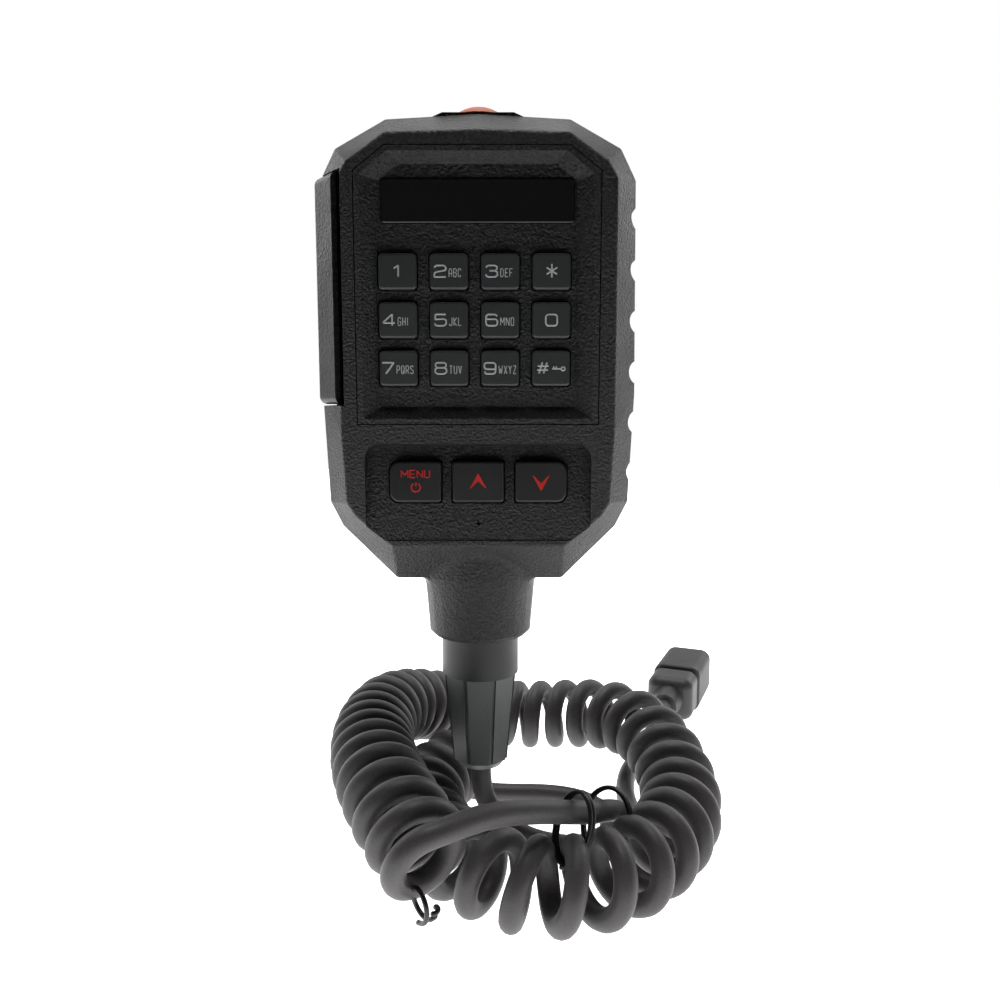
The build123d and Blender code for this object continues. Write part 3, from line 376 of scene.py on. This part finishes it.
def tie_loop(name, centre, along, wide, high, turns, tail):
    """A coated wire wound round the cord, across the direction along, with its ends twisted into a tail."""
    along = Vector(along).normalized()
    across = along.cross(Vector((0, 0, 1))).normalized()
    up = across.cross(along)
    steps = round(turns * TIE_POINTS_A_TURN)
    points = []
    for step in range(steps + 1):
        angle = math.tau * turns * step / steps - math.pi / 2
        points.append(centre + across * (math.cos(angle) * wide * MM) + up * (math.sin(angle) * high * MM)
                      + along * (step / steps - 0.5) * TIE_DRIFT)
    end = points[-1]
    for step in range(1, TAIL_POINTS + 1):
        twist = step * TAIL_TWIST
        points.append(end + Vector(tail) * (step / TAIL_POINTS * MM)
                      + across * (math.cos(twist) * TAIL_RADIUS) + along * (math.sin(twist) * TAIL_RADIUS))
    tie = spline_object(name, points, TIE_RADIUS, resolution=5, sides=3)
    return finish_piece(tie, "tie_wire")


def add_ties():
    """Two ties hold the far lead to the coil, and a third holds the coil's open end."""
    front = tie_loop("tie_front", above_floor(18.2, -46.6, 17.4), (0.74, 0.62, -0.35), 4.6, 7.2, 2.0,
                     (2.5, -3.5, -4.5))
    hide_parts("cord_tie_1")
    right = tie_loop("tie_right", above_floor(25.6, -38.2, 14.2), (0.50, 0.80, -0.4), 5.2, 7.0, 2.0,
                     (3.0, 1.0, -5.0))
    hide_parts("cord_tie_2")
    end = tie_loop("tie_end", above_floor(-9.3, -62.9, 12.6), (0.8, 0.6, 0.1), 2.9, 3.0, 1.15,
                   (0.9, -0.4, 2.6))
    return [front, right, end]


# ---------------------------------------------------------------- legends

# Each character is one or more strokes on a square from (0, 0) at its lower left to (1, 1).
ROUNDED_BOX = [(0, 0.22), (0, 0.78), (0.07, 0.93), (0.22, 1), (0.78, 1), (0.93, 0.93), (1, 0.78), (1, 0.22),
               (0.93, 0.07), (0.78, 0), (0.22, 0), (0.07, 0.07), (0, 0.22)]
SIX = [(0.97, 0.8), (0.9, 0.94), (0.78, 1), (0.22, 1), (0.07, 0.93), (0, 0.78), (0, 0.2), (0.07, 0.06),
       (0.22, 0), (0.78, 0), (0.93, 0.06), (1, 0.18), (1, 0.4), (0.93, 0.53), (0.78, 0.58), (0, 0.58)]
BOWL = [(0, 0.45), (0.8, 0.45), (1, 0.6), (1, 0.85), (0.8, 1), (0, 1), (0, 0)]
STROKES = {
    "0": [ROUNDED_BOX],
    "1": [[(0.2, 0.74), (0.6, 1), (0.6, 0)]],
    "2": [[(0.02, 0.78), (0.08, 0.93), (0.22, 1), (0.78, 1), (0.93, 0.94), (1, 0.82), (1, 0.66), (0.9, 0.56),
           (0.15, 0.42), (0, 0.3), (0, 0), (1, 0)]],
    "3": [[(0.02, 0.8), (0.08, 0.93), (0.22, 1), (0.76, 1), (0.96, 0.9), (0.96, 0.66), (0.78, 0.54),
           (0.3, 0.54)],
          [(0.78, 0.54), (1, 0.4), (1, 0.16), (0.8, 0), (0.22, 0), (0.06, 0.07), (0, 0.2)]],
    "4": [[(0.76, 0), (0.76, 1), (0, 0.32), (0, 0.24), (1, 0.24)]],
    "5": [[(0.95, 1), (0.08, 1), (0.03, 0.56), (0.8, 0.6), (1, 0.46), (1, 0.16), (0.8, 0), (0.22, 0),
           (0.06, 0.07), (0, 0.2)]],
    "6": [SIX],
    "7": [[(0, 1), (1, 1), (0.3, 0)]],
    "8": [[(0.2, 0.54), (0.04, 0.66), (0.04, 0.88), (0.2, 1), (0.8, 1), (0.96, 0.88), (0.96, 0.66),
           (0.8, 0.54), (0.2, 0.54), (0, 0.4), (0, 0.15), (0.2, 0), (0.8, 0), (1, 0.15), (1, 0.4),
           (0.8, 0.54)]],
    "9": [[(1 - x, 1 - y) for x, y in SIX]],
    "A": [[(0, 0), (0, 0.72), (0.3, 1), (0.7, 1), (1, 0.72), (1, 0)], [(0, 0.4), (1, 0.4)]],
    "B": [[(0, 0), (0, 1), (0.75, 1), (1, 0.85), (1, 0.67), (0.75, 0.52), (0, 0.52)],
          [(0.75, 0.52), (1, 0.38), (1, 0.15), (0.75, 0), (0, 0)]],
    "C": [[(1, 0.78), (0.8, 1), (0.2, 1), (0, 0.8), (0, 0.2), (0.2, 0), (0.8, 0), (1, 0.22)]],
    "D": [[(0, 0), (0, 1), (0.7, 1), (1, 0.78), (1, 0.22), (0.7, 0), (0, 0)]],
    "E": [[(1, 1), (0, 1), (0, 0), (1, 0)], [(0, 0.5), (0.85, 0.5)]],
    "F": [[(1, 1), (0, 1), (0, 0)], [(0, 0.5), (0.85, 0.5)]],
    "G": [[(1, 0.78), (0.8, 1), (0.2, 1), (0, 0.8), (0, 0.2), (0.2, 0), (0.8, 0), (1, 0.2), (1, 0.5),
           (0.5, 0.5)]],
    "H": [[(0, 0), (0, 1)], [(1, 0), (1, 1)], [(0, 0.5), (1, 0.5)]],
    "I": [[(0.5, 0), (0.5, 1)]],
    "J": [[(1, 1), (1, 0.2), (0.8, 0), (0.2, 0), (0, 0.2)]],
    "K": [[(0, 0), (0, 1)], [(1, 1), (0, 0.45), (1, 0)]],
    "L": [[(0, 1), (0, 0), (1, 0)]],
    "M": [[(0, 0), (0, 1), (0.5, 0.35), (1, 1), (1, 0)]],
    "N": [[(0, 0), (0, 1), (1, 0), (1, 1)]],
    "O": [ROUNDED_BOX],
    "P": [BOWL],
    "Q": [ROUNDED_BOX, [(0.55, 0.35), (1, 0)]],
    "R": [BOWL, [(0.55, 0.45), (1, 0)]],
    "S": [[(1, 0.82), (0.8, 1), (0.2, 1), (0, 0.85), (0, 0.66), (1, 0.36), (1, 0.15), (0.8, 0), (0.2, 0),
           (0, 0.18)]],
    "T": [[(0, 1), (1, 1)], [(0.5, 1), (0.5, 0)]],
    "U": [[(0, 1), (0, 0.2), (0.2, 0), (0.8, 0), (1, 0.2), (1, 1)]],
    "V": [[(0, 1), (0.5, 0), (1, 1)]],
    "W": [[(0, 1), (0.25, 0), (0.5, 0.65), (0.75, 0), (1, 1)]],
    "X": [[(0, 0), (1, 1)], [(0, 1), (1, 0)]],
    "Y": [[(0, 1), (0.5, 0.5), (1, 1)], [(0.5, 0.5), (0.5, 0)]],
    "Z": [[(0, 1), (1, 1), (0, 0), (1, 0)]],
    "*": [[(0.5, 0), (0.5, 1)], [(0.05, 0.25), (0.95, 0.75)], [(0.05, 0.75), (0.95, 0.25)]],
    "#": [[(0.15, 0), (0.45, 1)], [(0.55, 0), (0.85, 1)], [(0.05, 0.68), (1, 0.68)],
          [(0, 0.32), (0.95, 0.32)]],
}
LETTER_WIDTHS = {"I": 0.3, "M": 1.35, "N": 1.15, "W": 1.35}
SHARP_CORNER = math.radians(65)
LEGEND_PROUD = 0.00004
LEGEND_FLATNESS = 0.3
PLATE_PROUD = 0.00007
PLATE_SUNK = 0.00002


def written(text, x, z, height, width, gap):
    """Strokes, in millimetres, of text that starts at x on the baseline z."""
    strokes = []
    for letter in text:
        letter_width = width * LETTER_WIDTHS.get(letter, 1)
        drawn_width = max(width, letter_width)
        left = x - (drawn_width - letter_width) / 2
        for stroke in STROKES[letter]:
            strokes.append([(left + u * drawn_width, z + v * height) for u, v in stroke])
        x += letter_width + gap
    return strokes


def ring(x, z, radius, start=0.0, end=360.0, steps=24):
    """Points on a circle round (x, z), clockwise in degrees from its top."""
    angles = [math.radians(start + (end - start) * n / steps) for n in range(steps + 1)]
    return [(x + radius * math.sin(angle), z + radius * math.cos(angle)) for angle in angles]


def split_at_corners(stroke):
    """The stroke cut at its sharp corners, where a bevelled curve would be pinched thin."""
    pieces = [[stroke[0]]]
    for before, here, after in zip(stroke, stroke[1:], stroke[2:]):
        pieces[-1].append(here)
        turn = (Vector(here) - Vector(before)).angle(Vector(after) - Vector(here))
        if turn > SHARP_CORNER:
            pieces.append([here])
    pieces[-1].append(stroke[-1])
    return pieces


def face_of(key):
    """The middle of the face that a key turns to the user."""
    low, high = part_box(key)
    return Vector(((low.x + high.x) / 2, low.y, (low.z + high.z) / 2))


def add_legend_piece(key, name, mesh, material):
    """A piece of printed legend that moves with its key."""
    piece = bpy.data.objects.new(name, mesh)
    bpy.context.scene.collection.objects.link(piece)
    mesh.materials.clear()
    mesh.materials.append(material)
    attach(piece, key)


def legend(key, name, strokes, line, material):
    """Raised strokes on a key's face, (x, z) in millimetres from the middle of the key."""
    data = bpy.data.curves.new(name, "CURVE")
    data.dimensions = "3D"
    data.bevel_depth = line / 2 * MM
    data.bevel_resolution = 2
    data.use_fill_caps = True
    for piece in (piece for stroke in strokes for piece in split_at_corners(stroke)):
        spline = data.splines.new("POLY")
        spline.points.add(len(piece) - 1)
        for point, (x, z) in zip(spline.points, piece):
            point.co = (x * MM, z * MM, 0, 1)
    pen = bpy.data.objects.new(name + "_pen", data)
    bpy.context.scene.collection.objects.link(pen)
    mesh = bpy.data.meshes.new_from_object(pen.evaluated_get(bpy.context.evaluated_depsgraph_get()))
    bpy.data.objects.remove(pen)
    bpy.data.curves.remove(data)
    mesh.transform(Matrix.Translation(face_of(key) - Vector((0, LEGEND_PROUD, 0)))
                   @ Matrix.Rotation(math.pi / 2, 4, "X") @ Matrix.Diagonal((1, 1, LEGEND_FLATNESS, 1)))
    add_legend_piece(key, name, mesh, material)


def flat_legend(key, name, outline, material):
    """A thin filled shape on a key's face, its outline given anticlockwise as the user sees it."""
    face = face_of(key)
    count = len(outline)
    corners = [tuple(face + Vector((x * MM, depth, z * MM))) for depth in (-PLATE_PROUD, PLATE_SUNK)
               for x, z in outline]
    sides = [(n, n + count, (n + 1) % count + count, (n + 1) % count) for n in range(count)]
    mesh = bpy.data.meshes.new(name)
    mesh.from_pydata(corners, [], [tuple(range(count)), tuple(range(2 * count - 1, count - 1, -1)), *sides])
    add_legend_piece(key, name, mesh, material)


DIGIT_HEIGHT, DIGIT_WIDTH, DIGIT_LINE = 2.15, 2.2, 0.34
LETTER_HEIGHT, LETTER_WIDTH, LETTER_GAP, LETTER_LINE = 1.5, 0.52, 0.36, 0.16
DIGIT_START, WIDE_DIGIT_START = -2.75, -3.1
DIGIT_TO_LETTERS = 0.62
LETTERS = {"2": "ABC", "3": "DEF", "4": "GHI", "5": "JKL", "6": "MNO", "7": "PQRS", "8": "TUV", "9": "WXYZ"}


def digit_start(digit):
    """Where a digit starts on its key: centred alone, or further left to leave room for its letters."""
    if digit not in LETTERS:
        return -DIGIT_WIDTH / 2
    return WIDE_DIGIT_START if len(LETTERS[digit]) == 4 else DIGIT_START


def add_keypad_legends():
    grey = moulded("legend_grey_ink", (0.52, 0.53, 0.53), 0.5, 0.3, 0.004, speckle=0.06)
    base = -DIGIT_HEIGHT / 2
    for digit in "0123456789":
        key, start = "key_" + digit, digit_start(digit)
        strokes = written(digit, start, base, DIGIT_HEIGHT, DIGIT_WIDTH, 0)
        legend(key, "legend_" + digit, strokes, DIGIT_LINE, grey)
        if digit in LETTERS:
            letters = written(LETTERS[digit], start + DIGIT_WIDTH + DIGIT_TO_LETTERS, base + 0.02,
                              LETTER_HEIGHT, LETTER_WIDTH, LETTER_GAP)
            legend(key, "letters_" + digit, letters, LETTER_LINE, grey)
    legend("key_star", "legend_star", written("*", -1.1, -1.2, 2.5, 2.2, 0), DIGIT_LINE, grey)
    legend("key_hash", "legend_hash", written("#", -2.7, -1.0, 2.1, 2.2, 0), DIGIT_LINE, grey)
    shaft = [(0.2, -0.1), (1.9, -0.1)]
    teeth = [[(x, -0.1), (x, 0.35)] for x in (0.5, 1.0)]
    legend("key_hash", "legend_lock", [shaft, *teeth, ring(2.3, -0.1, 0.36)], 0.3, grey)


def chevron(way):
    """A filled arrowhead, thick at its point and thin at the tips of its two legs."""
    outline = [(1.7, -1.3 * way), (0, 1.8 * way), (-1.7, -1.3 * way), (-1.3, -1.1 * way), (0, 0.2 * way),
               (1.3, -1.1 * way)]
    return outline if way > 0 else outline[::-1]


def add_function_legends():
    red = moulded("legend_red_ink", (0.55, 0.016, 0.012), 0.45, 0.3, 0.004, speckle=0.06)
    legend("menu_key", "legend_menu", written("MENU", -2.7, 0.9, 1.45, 0.95, 0.42), 0.24, red)
    power = [ring(0.1, -1.0, 0.88, 35, 325), [(0.1, -0.85), (0.1, 0.0)]]
    legend("menu_key", "legend_power", power, 0.30, red)
    for key, way in (("up_key", 1), ("down_key", -1)):
        flat_legend(key, "legend_" + key, chevron(way), red)


# ---------------------------------------------------------------- all of it

finish_cad_nodes()
cord_ties = add_ties()
add_cord()
add_keypad_legends()
add_function_legends()
add_camera()
add_studio()
